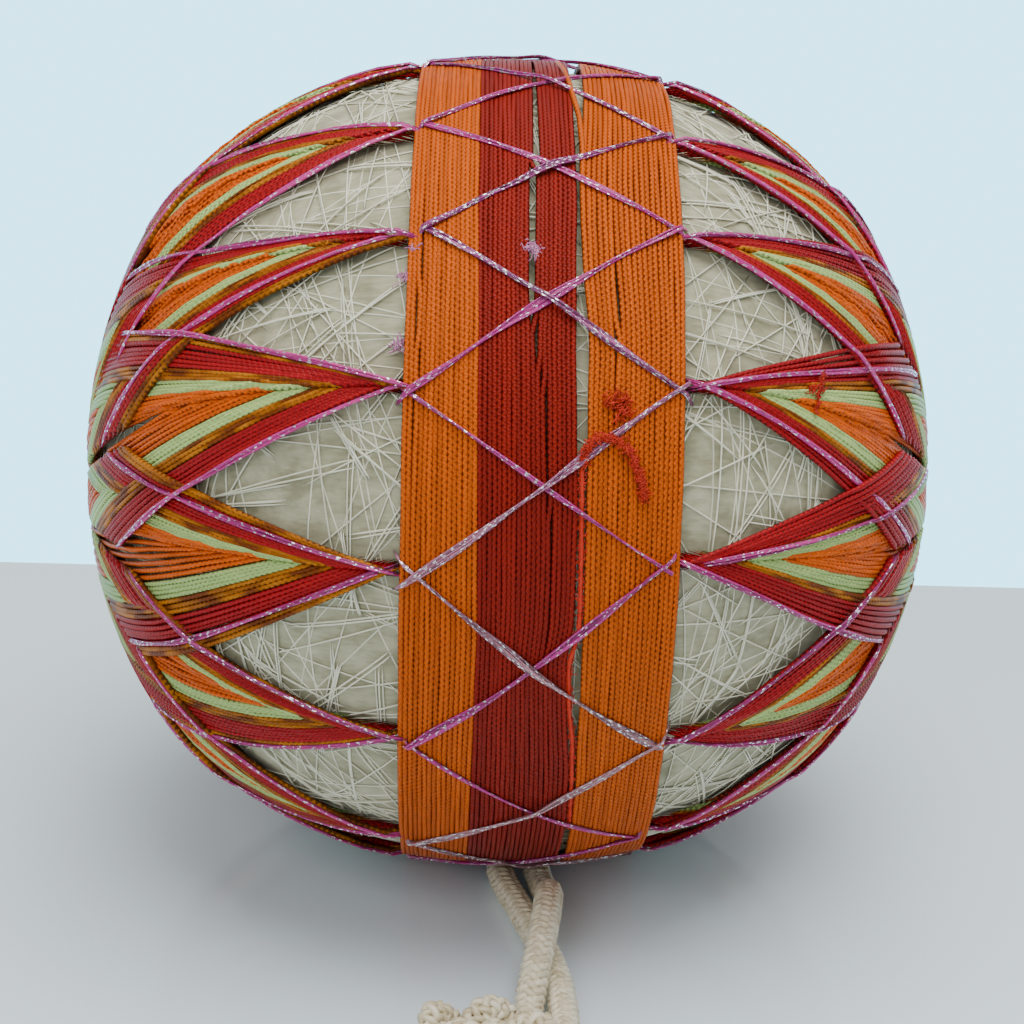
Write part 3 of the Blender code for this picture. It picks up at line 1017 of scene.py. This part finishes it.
@dataclass
class Lattice:
    """Two zigzags of metallic thread over the sash, crossing at its middle and at its edges.

    Each leg lies at the seat's height. The pale ones lift over the others at the middle, legs that
    run up lift over the ones that run down at the edges, and every end sinks into the ground.
    """

    filament: float = 0.105
    common: FlatStrand = FlatStrand(7, 0.32)
    thin: FlatStrand = FlatStrand(4, 0.15)
    thin_legs: tuple[tuple[int, int], ...] = ((0, -1), (-2, -1))
    seat: float = 1.45
    lift: float = 0.42
    lift_reach: float = 0.075
    edge_lift: float = 0.25
    edge_place: float = 0.06
    edge_reach: float = 0.05
    sunk: float = 0.1
    taper: float = 0.12
    steps: int = 40

    def build(self) -> None:
        """Lay both zigzags, the pale one over the magenta one."""
        pale = FoilThread("metallic filament, dusty lilac", "#BE8A94", "#3E2229", "#A83684", "#4A0C3E", glints=0.59)
        magenta = FoilThread("metallic filament, magenta", "#C43690", "#660E48", glints=0.63)
        rng = np.random.default_rng(41)
        for node, parity, finish in (("lattice_over", 1, pale), ("lattice_under", 0, magenta)):
            bundle = ThreadBundle(node + "_strands", self.filament, Ply.FINE, 42 + parity)
            for line in range(parity, DIVISIONS + parity, 2):
                for way in (1, -1):
                    self.lay_leg(bundle, line, way, parity == 1, rng)
            bundle.build(finish.make(), "metallic_thread", node)

    def lay_leg(self, bundle: ThreadBundle, line: int, way: int, over: bool, rng: np.random.Generator) -> None:
        """Lay one leg from its left stitch to its right one.

        Args:
            bundle: takes its filaments.
            line: the division line that it starts from.
            way: 1 if it goes up to the next line, -1 if down.
            over: whether it passes over the other zigzag at the middle.
            rng: the seeded source of its unevenness.
        """
        start, end = stitch_at(line), stitch_at(line + way)
        turn_a = FIRST_LINE + line * PITCH + start.left[1]
        turn_b = FIRST_LINE + (line + way) * PITCH + end.right[1]
        width = end.right[0] - start.left[0]
        along = np.linspace(-start.past[0] / width, 1.0 + end.past[1] / width, self.steps)
        share = np.linspace(0.0, 1.0, self.steps)
        from_end = np.minimum(share, 1.0 - share)
        middle = np.exp(-(((share - 0.5) / self.lift_reach) ** 2))
        edges = np.exp(-(((from_end - self.edge_place) / self.edge_reach) ** 2))
        height = self.seat + (self.lift * middle if over else 0.0) + self.edge_lift * edges * (way > 0)
        sink = smooth_step(from_end / self.edge_reach)
        height = height * sink + self.sunk * (1.0 - sink)
        strand = self.thin if (nearest_index(line), way) in self.thin_legs else self.common
        centre = FORM.place(start.left[0] + width * along, turn_a + (turn_b - turn_a) * along, height)
        strand.lay(bundle, centre, 0.5 + 0.5 * smooth_step(from_end / self.taper), rng)


@dataclass(frozen=True)
class Rounds:
    """The rounds of a flower in one colour, from the inside outwards.

    Tips and halves are each round's latitudes at its tips and at its crossings on the half lines.
    Rounds of a higher rank lie over those of a lower one where two arms cross.
    """

    colour: str
    finish: PearlCotton
    rank: int
    tips: tuple[float, ...]
    halves: tuple[float, ...]


@dataclass(frozen=True)
class Edging:
    """The metallic strand laid last on each arm: its tip and half latitudes, and those that stray."""

    common: tuple[float, float]
    strays: dict[tuple[int, int], tuple[float, float]]

    def at(self, line: int, way: int) -> tuple[float, float]:
        """The edging's latitudes on an arm."""
        return self.strays.get((nearest_index(line), way), self.common)


# Each cotton's dark colour is painted shade, for the gaps where the plies part
ORANGE = PearlCotton("mercerised cotton, petal orange", "#D25800", "#541A02")
SAGE = PearlCotton("mercerised cotton, pale sage", "#A9C074", "#3F5222", mottle=0.14)
OCHRE = PearlCotton("mercerised cotton, ochre brown dyed in lengths", "#B0680E", "#321404", second="#70340A")
DARK_RED = PearlCotton("mercerised cotton, dark red", "#9C141A", "#2E0408")
PINK = FoilThread("metallic filament, pink", "#CC3A8E", "#741050")
CREAM = PlainThread("spun polyester thread, pale straw", "#DCD6B4", "#A89F78")

LEFT_ROUNDS = (
    Rounds("orange", ORANGE, 0, (41.0, 38.4, 36.0, 33.8, 31.8, 30.0), (81.0, 77.0, 73.4, 70.0, 66.9, 63.9)),
    Rounds("sage", SAGE, 1, (27.8, 26.8, 25.9, 25.2), (62.0, 60.2, 58.4, 56.6)),
    Rounds("ochre", OCHRE, 2, (23.8, 22.6, 21.4), (54.9, 53.2, 51.5)),
    Rounds("red", DARK_RED, 2, (20.0, 19.1, 18.2, 17.4, 16.6), (49.8, 48.2, 46.6, 45.0, 43.4)),
    Rounds("outer_ochre", OCHRE, 2, (15.6, 14.9), (41.8, 40.2)),
)
RIGHT_ROUNDS = (
    Rounds("orange", ORANGE, 0, (46.3, 44.0, 41.9, 39.9, 38.0, 36.2, 34.5, 32.9),
           (83.0, 79.8, 76.8, 74.1, 71.5, 69.1, 66.8, 64.6)),
    Rounds("sage", SAGE, 1, (31.3, 30.2, 29.2, 28.2), (62.8, 61.0, 59.2, 57.4)),
    Rounds("ochre", OCHRE, 2, (27.2, 26.2), (55.6, 53.9)),
    Rounds("red", DARK_RED, 2, (25.2, 24.4, 23.6, 22.8, 22.0, 21.2), (52.1, 50.4, 48.7, 47.0, 45.3, 43.6)),
)
LEFT_EDGING = Edging((14.4, 40.6), {
    (1, -1): (16.2, 46.4), (0, 1): (14.2, 39.6), (-1, 1): (15.2, 44.2), (0, -1): (14.6, 42.8),
    (-1, -1): (16.0, 43.2), (-2, 1): (14.2, 39.6),
})
RIGHT_EDGING = Edging((20.4, 43.0), {
    (0, 1): (21.4, 49.4), (0, -1): (21.6, 48.2), (-1, 1): (24.0, 57.0), (1, 1): (20.8, 46.0),
})


@dataclass
class Flower:
    """A sixteen-petalled flower: zigzag rounds whose arms cross at the half lines.

    A half line goes by the number of the division line below it. Upper_over says there whether
    the arms from above lie over those from below, for the inner and for the outer rounds, and
    leans how far a crossing strays in turn. Heart_drop is how far the flower's heart lies below
    the pole, as a share of the ball's radius, and bare_arms lack their last rounds.
    """

    side: Side
    groups: tuple[Rounds, ...]
    edging: Edging
    tip_latitude: float
    upper_over: dict[int, tuple[bool, bool]]
    heart_drop: float
    leans: dict[int, float]
    bare_arms: tuple[tuple[int, int], ...] = ()
    radius: float = 0.26
    fine_radius: float = 0.14
    base: float = 0.85
    step_up: float = 0.46
    edging_up: float = 0.3
    heart_up: float = 0.35
    tip_up: float = 0.35
    way_up: float = 0.22
    sunk: float = 0.25
    widening: float = 0.4
    tip_stray: float = 0.12
    half_stray: float = 0.16
    height_stray: float = 0.015
    divider_gap: float = 0.24
    samples: int = 17
    edging_rank: int = 3
    strand: FlatStrand = FlatStrand(3, 0.19)

    def arm(self, tips: np.ndarray, halves: np.ndarray, share: np.ndarray) -> np.ndarray:
        """Latitudes along taut arms.

        Args:
            tips: each round's latitude at its own division line.
            halves: its latitude at the half line.
            share: how far along, from the arm's own line (0) to the next (1).

        Returns:
            One row of latitudes for each round.
        """
        span = math.radians(PITCH)
        pull_tip = np.tan(np.radians(tips))[:, None] * np.sin(span * (0.5 - share))
        pull_half = np.tan(np.radians(halves))[:, None] * np.sin(span * share)
        return np.degrees(np.arctan((pull_tip + pull_half) / math.sin(span / 2)))

    def pull(self, latitude: np.ndarray, tip: float, half: float) -> np.ndarray:
        """The share of a crossing's lean that a taut thread through it takes at each latitude."""
        reach, at_tip, at_half = (1.0 / np.tan(np.radians(value)) for value in (latitude, tip, half))
        drawn = np.minimum((at_tip - reach) / (at_tip - at_half), reach / at_half)
        return np.clip(drawn * at_half / reach, 0.0, 1.0)

    def drawn_in(self, latitude: np.ndarray, turn: np.ndarray, tip: float) -> tuple[np.ndarray, np.ndarray]:
        """Move a thread's latitudes and turns so that it runs to the flower's heart beside the pole."""
        reach = 1.0 / np.tan(np.radians(latitude))
        share = np.clip(1.0 - reach * math.tan(math.radians(tip)), 0.0, 1.0)
        front = reach * np.cos(np.radians(turn))
        up = reach * np.sin(np.radians(turn)) - self.heart_drop * share
        return np.degrees(np.arctan2(1.0, np.hypot(front, up))), np.degrees(np.arctan2(up, front))

    def tip_of(self, line: int) -> tuple[float, float]:
        """The shift in latitude and the stray of a petal's tip."""
        stitch = stitch_at(line)
        latitude, stray = stitch.left_tip if self.side is Side.LEFT else stitch.right_tip
        return abs(latitude) - self.tip_latitude, stray

    def levels(self, tips: np.ndarray, halves: np.ndarray, ranks: np.ndarray, share: np.ndarray,
               on_top: np.ndarray) -> np.ndarray:
        """Where each round of an arm lies over the arm that it crosses.

        Args:
            tips: the rounds' latitudes at their tips.
            halves: their latitudes at the half line.
            ranks: their ranks.
            share: how far along the arm.
            on_top: 1 for the rounds that lie over those of their own rank, 0 for the others.

        Returns:
            One row for each round: 1 over, 0 under or alone.
        """
        own = self.arm(tips, halves, share)
        other = self.arm(tips, halves, 1.0 - share)
        nearest = np.abs(own[:, None, :] - other[None, :, :]).argmin(axis=1)
        crossed = own > other.min(axis=0) - 1.0
        own_order = 2.0 * ranks[:, None] + on_top[:, None]
        other_order = 2.0 * ranks[nearest] + 1.0 - on_top[nearest]
        level = (crossed & (own_order > other_order)).astype(float)
        kernel = np.array((1.0, 2.0, 3.0, 2.0, 1.0)) / 9.0
        padded = np.pad(level, ((0, 0), (2, 2)), mode="edge")
        return np.stack([np.convolve(row, kernel, "valid") for row in padded])

    def build(self) -> None:
        """Lay every arm, one piece for each colour and one for the edging."""
        name = "flower_left" if self.side is Side.LEFT else "flower_right"
        rng = np.random.default_rng(51 if self.side is Side.LEFT else 52)
        bundles = [
            ThreadBundle(f"{name}_{group.colour}", self.radius, Ply.COMMON, 60 + number)
            for number, group in enumerate(self.groups)
        ]
        edging = ThreadBundle(f"{name}_edging", self.fine_radius, Ply.FINE, 69)
        for line in range(DIVISIONS):
            for way in (1, -1):
                self.lay_arm(bundles, edging, line, way, rng)
        for bundle, group in zip(bundles, self.groups):
            bundle.build(group.finish.make(), "flower_thread", name)
        edging.build(PINK.make(), "flower_thread", name)
        self.build_dividers(name)

    def lay_arm(self, bundles: list[ThreadBundle], edging: ThreadBundle, line: int, way: int,
                rng: np.random.Generator) -> None:
        """Lay the rounds of one arm of a petal, and its edging over them.

        Args:
            bundles: take the rounds, one for each colour.
            edging: takes the edging's filaments.
            line: the division line of the petal's tip.
            way: 1 if the arm goes up to the next line, -1 if down.
            rng: the seeded source of its unevenness.
        """
        pink_tip, pink_half = self.edging.at(line, way)
        tips = np.array([tip for g in self.groups for tip in g.tips] + [pink_tip])
        halves = np.array([half for g in self.groups for half in g.halves] + [pink_half])
        ranks = np.array([g.rank for g in self.groups for _ in g.tips] + [self.edging_rank])
        ranks[halves < pink_half] = self.edging_rank
        owner = [number for number, g in enumerate(self.groups) for _ in g.tips] + [-1]
        share = np.linspace(-0.05, 1.0, self.samples)
        fine = np.linspace(share[0], share[-1], 4 * len(share))
        index = nearest_index(line if way > 0 else line - 1)
        inner, outer = self.upper_over.get(index, (index % 2 != 0, index % 2 == 0))
        on_top = np.where(ranks == self.edging_rank, outer == (way < 0), inner == (way < 0)).astype(float)
        level = self.levels(tips, halves, ranks, fine, on_top)
        shift, stray = self.tip_of(line)
        far_stray = self.tip_of(line + way)[1]
        own_tips = tips + shift * np.clip((60.0 - tips) / 40.0, 0.0, 1.0) + rng.normal(0.0, self.tip_stray, len(tips))
        latitude = self.arm(own_tips, halves + rng.normal(0.0, self.half_stray, len(tips)), share)
        near_tip = 1.0 - smooth_step((share - 0.03) / 0.25)
        sink = smooth_step((share - share[0]) / 0.035)
        widths = 1.0 + self.widening * smooth_step((share - 0.46) / 0.2)
        bare = (nearest_index(line), way) in self.bare_arms
        for row, number in enumerate(owner):
            if bare and number == len(self.groups) - 1:
                continue
            inward = smooth_step((latitude[row] - 25.0) / 35.0)
            moved = (stray * (1.0 - share) + far_stray * share) * (1.0 - inward)
            lean = self.leans.get(index, 0.0) * self.pull(latitude[row], tips[row], halves[row])
            turn = FIRST_LINE + (line + way * share) * PITCH + moved + lean
            course, turn = self.drawn_in(latitude[row], turn, tips[row])
            height = self.base + self.step_up * np.interp(share, fine, level[row])
            height = height + near_tip * (self.tip_up * row / len(tips) + self.way_up * (way > 0))
            height = height + self.heart_up * smooth_step((latitude[row] - 60.0) / 24.0)
            height = (height + rng.normal(0.0, self.height_stray)) * sink + self.sunk * (1.0 - sink)
            if number >= 0:
                bundles[number].lay(FORM.place(self.side.value * course, turn, height), widths=widths)
            else:
                height = height + self.edging_up + 0.08 * (way > 0)
                place = FORM.place(self.side.value * course, turn, height)
                self.strand.lay(edging, place, np.ones(len(share)), rng)

    def build_dividers(self, name: str) -> None:
        """Lay the pale dividing threads along the petals' centre lines, to the pole and over it.

        Args:
            name: the flower's node.
        """
        bundle = ThreadBundle(f"{name}_dividers", self.fine_radius, Ply.FINE, 71)
        rng = np.random.default_rng(71)
        for line in range(DIVISIONS // 2):
            heading = line * PITCH + FIRST_LINE
            across = np.array((0.0, math.sin(math.radians(heading)), math.cos(math.radians(heading))))
            for aside in (-self.divider_gap, 0.0, self.divider_gap):
                starts = rng.uniform(33.0, 37.0, 2)
                latitude = np.r_[np.linspace(starts[0], 89.4, 24), np.linspace(89.4, starts[1], 24)]
                turn = np.r_[np.full(24, heading), np.full(24, heading + 180.0)]
                latitude, turn = self.drawn_in(latitude, turn, self.tip_latitude)
                centre = FORM.place(self.side.value * latitude, turn, 0.45 + 0.06 * line * (latitude > 80.0))
                bundle.lay(centre + across * (aside + rng.normal(0.0, 0.04)))
        bundle.build(CREAM.make(), "flower_thread", name)


@dataclass(frozen=True)
class Tuft:
    """A patch of loose fibres: latitude, turn, spread in millimetres, how many, and their height."""

    latitude: float
    turn: float
    spread: float
    count: int
    height: float


@dataclass(frozen=True)
class Fray:
    """A thread that has fluffed up: its places as latitude, turn and height, and its fluff's reach."""

    places: tuple[tuple[float, float, float], ...]
    core: float
    reach: float
    fibres: int


@dataclass
class Wear:
    """Fibres and threads of one colour that have worked loose in use."""

    colour: str
    light: str
    dark: str
    seed: int
    tufts: tuple[Tuft, ...]
    frays: tuple[Fray, ...] = ()
    fibre: float = 0.05
    waves: int = 3

    def build(self, slot: str) -> None:
        """Lay the fibres and the frayed threads.

        Args:
            slot: the record's material slot of the thread that they come from.
        """
        rng = np.random.default_rng(self.seed)
        bundle = ThreadBundle(f"{self.colour}_wear", self.fibre, Ply.FINE, self.seed)
        for tuft in self.tufts:
            for _ in range(tuft.count):
                aside, up = rng.normal(0.0, tuft.spread, 2) * DEGREES_PER_MM
                self.lay_fibre(bundle, (tuft.latitude + aside, tuft.turn + up, tuft.height), 1.0, rng)
        for fray in self.frays:
            course = Route(fray.places).smooth(0.4)
            widths = np.full(len(course), fray.core / self.fibre) * rng.uniform(0.8, 1.15, len(course))
            bundle.lay(FORM.place(*course.T), widths=widths)
            for _ in range(fray.fibres):
                latitude, turn, height = course[rng.integers(len(course))]
                aside, up = rng.normal(0.0, fray.core, 2) * DEGREES_PER_MM
                self.lay_fibre(bundle, (latitude + aside, turn + up, height), fray.reach, rng)
        material = PlainThread(f"frayed cotton, {self.colour}", self.light, self.dark, 0.7).make()
        bundle.build(material, slot)

    def lay_fibre(self, bundle: ThreadBundle, place: tuple, reach: float, rng: np.random.Generator) -> None:
        """Lay one short curled fibre.

        Args:
            bundle: takes it.
            place: its latitude, turn and height.
            reach: how far it curls, in millimetres.
            rng: the seeded source of its curl.
        """
        latitude, turn, height = place
        t = np.linspace(0.0, 1.0, 8)
        curl = rng.normal(0.0, reach, (self.waves, 2)) * DEGREES_PER_MM
        path = sum(
            np.outer(curl[k], np.sin(np.pi * (k + 1) * t + rng.uniform(0, 6.3))) * 0.4 / (k + 1)
            for k in range(self.waves)
        )
        lift = height + np.abs(np.sin(np.pi * t * rng.uniform(0.5, 2.0))) * 0.45 * reach
        bundle.lay(FORM.place(latitude + path[0], turn + path[1], lift))


RED_WEAR = Wear("red", "#D2361C", "#84170C", 81, (
    Tuft(12.0, 23.9, 0.55, 30, 1.3), Tuft(11.3, 24.9, 0.4, 16, 1.3), Tuft(37.3, 28.5, 0.5, 14, 1.3),
), (
    Fray(((7.6, 17.2, 1.3), (8.0, 19.2, 1.6), (9.3, 20.2, 1.7), (11.1, 20.0, 1.6), (12.8, 18.9, 1.6),
          (13.8, 16.8, 1.6), (14.7, 14.3, 1.5), (14.9, 13.1, 1.4)), 0.18, 0.55, 340),
    Fray(((7.35, 18.5, 1.0), (7.55, 16.1, 1.1), (7.71, 10.1, 1.1), (7.85, 3.9, 1.1), (7.95, -2.7, 1.1),
          (7.6, -5.0, 1.1), (7.0, -7.8, 1.1), (7.1, -11.5, 1.1), (7.4, -15.4, 1.1), (7.95, -19.6, 1.1),
          (8.15, -24.3, 1.1), (8.4, -29.6, 1.1), (8.7, -40.0, 1.0)), 0.25, 0.3, 520),
    Fray(((38.5, 31.7, 1.3), (37.6, 28.6, 1.5), (37.2, 25.6, 1.3)), 0.13, 0.4, 50),
))
PINK_WEAR = Wear("pink", "#D998BC", "#93507F", 82, (
    Tuft(1.3, 43.6, 0.3, 30, 0.9), Tuft(-14.0, 40.0, 0.3, 16, 0.7), Tuft(-14.3, 31.0, 0.3, 16, 0.7),
    Tuft(-13.2, 43.7, 0.2, 8, 0.9),
))
ORANGE_WEAR = Wear("orange", "#C98246", "#7E4418", 83, (Tuft(67.9, -24.9, 0.3, 30, 1.4),))


@dataclass(frozen=True)
class SoftLight:
    """A square area light: its place and size in metres, and its power."""

    name: str
    place: tuple[float, float, float]
    size: float
    power: float


@dataclass
class Studio:
    """The glossy table, the bright backdrop, the soft light and the camera at the photo's angle."""

    camera_place: tuple[float, float, float] = (-4.754, -206.316, 106.544)
    camera_turn: tuple[float, float, float] = (71.558, -1.8893, -0.8922)
    lens: float = 68.794
    table_half: tuple[float, float] = (1.2, 0.6)
    table_middle: float = -0.518
    backdrop: float = 4.2
    room: float = 0.44
    lights: tuple[SoftLight, ...] = (
        SoftLight("overhead", (0.06, -0.06, 0.62), 0.5, 4.9), SoftLight("front", (-0.3, -0.55, 0.45), 0.4, 1.5),
    )

    def build(self) -> None:
        """Build the camera, the floor and the lights."""
        self.build_camera()
        self.build_floor()
        self.build_world()
        for light in self.lights:
            self.build_light(light)

    def build_camera(self) -> None:
        """Place the camera."""
        camera = bpy.data.cameras.new("camera")
        camera.sensor_fit = "HORIZONTAL"
        camera.sensor_width = 36.0
        camera.lens = self.lens
        camera.clip_start = 0.01
        camera.clip_end = 10.0
        item = put("camera", camera)
        item.location = [value * MM for value in self.camera_place]
        item.rotation_euler = [math.radians(value) for value in self.camera_turn]
        bpy.context.scene.camera = item

    def build_floor(self) -> None:
        """A pale glossy table top that ends a hand's width behind the ball."""
        bm = bmesh.new()
        bmesh.ops.create_grid(bm, x_segments=8, y_segments=8, size=1.0)
        for vert in bm.verts:
            vert.co.x *= self.table_half[0]
            vert.co.y = vert.co.y * self.table_half[1] + self.table_middle
        mesh = bpy.data.meshes.new("table_top")
        bm.to_mesh(mesh)
        bm.free()
        lacquer = Shading("lacquered white table top")
        mesh.materials.append(lacquer.finish(Base_Color=linear("#E6F6FF"), Roughness=0.1, Specular_IOR_Level=0.8))
        put("table_top", mesh)

    def build_world(self) -> None:
        """A pale room, brightest behind the ball where the lit backdrop stands."""
        world = bpy.data.worlds.new("studio")
        world.use_nodes = True
        tree = world.node_tree
        coords = add_node(tree, "ShaderNodeTexCoord")
        place = add_node(tree, "ShaderNodeSeparateXYZ", Vector=coords.outputs["Generated"])
        behind = compute(tree, "MULTIPLY", fit(tree, place.outputs[1], 0.25, 0.8),
                         fit(tree, place.outputs[2], 0.02, 0.32, 1.0, 0.0))
        fill_inputs(tree, tree.nodes["Background"], {
            "Strength": fit(tree, behind, 0.0, 1.0, self.room, self.backdrop),
            "Color": blend(tree, behind, linear("#F2F6F8"), linear("#94E2FF")),
        })
        bpy.context.scene.world = world

    def build_light(self, soft: SoftLight) -> None:
        """Hang one light, aimed at the ball."""
        light = bpy.data.lights.new(soft.name, "AREA")
        light.shape = "SQUARE"
        light.size = soft.size
        light.energy = soft.power
        item = put(soft.name, light)
        item.location = soft.place
        aim = np.array((0.0, 0.0, 0.04)) - soft.place
        pitch = math.acos(-aim[2] / np.linalg.norm(aim))
        item.rotation_euler = (pitch, 0.0, math.atan2(aim[1], aim[0]) - math.pi / 2)


def main() -> None:
    """Dress the ball, piece by piece."""
    logging.basicConfig(level=logging.INFO, format="%(message)s")
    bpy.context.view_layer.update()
    Studio().build()
    HangingCord().build()
    WoundBall().build()
    Sash().build()
    Lattice().build()
    Flower(Side.LEFT, LEFT_ROUNDS, LEFT_EDGING, 14.6,
           {1: (False, True), 0: (False, True), -1: (True, True), -2: (True, False)},
           0.118, {1: -2.7, 0: 3.0, -1: 0.9, -2: -2.3}, ((0, -1), (1, 1), (2, -1))).build()
    Flower(Side.RIGHT, RIGHT_ROUNDS, RIGHT_EDGING, 20.7,
           {1: (False, True), 0: (False, True), -1: (True, False), -2: (True, False)},
           0.058, {1: 2.7, 0: 2.6, -1: 0.8, -2: 0.4}).build()
    RED_WEAR.build("red_thread")
    PINK_WEAR.build("metallic_thread")
    ORANGE_WEAR.build("orange_thread")


if __name__ == "__main__":
    main()
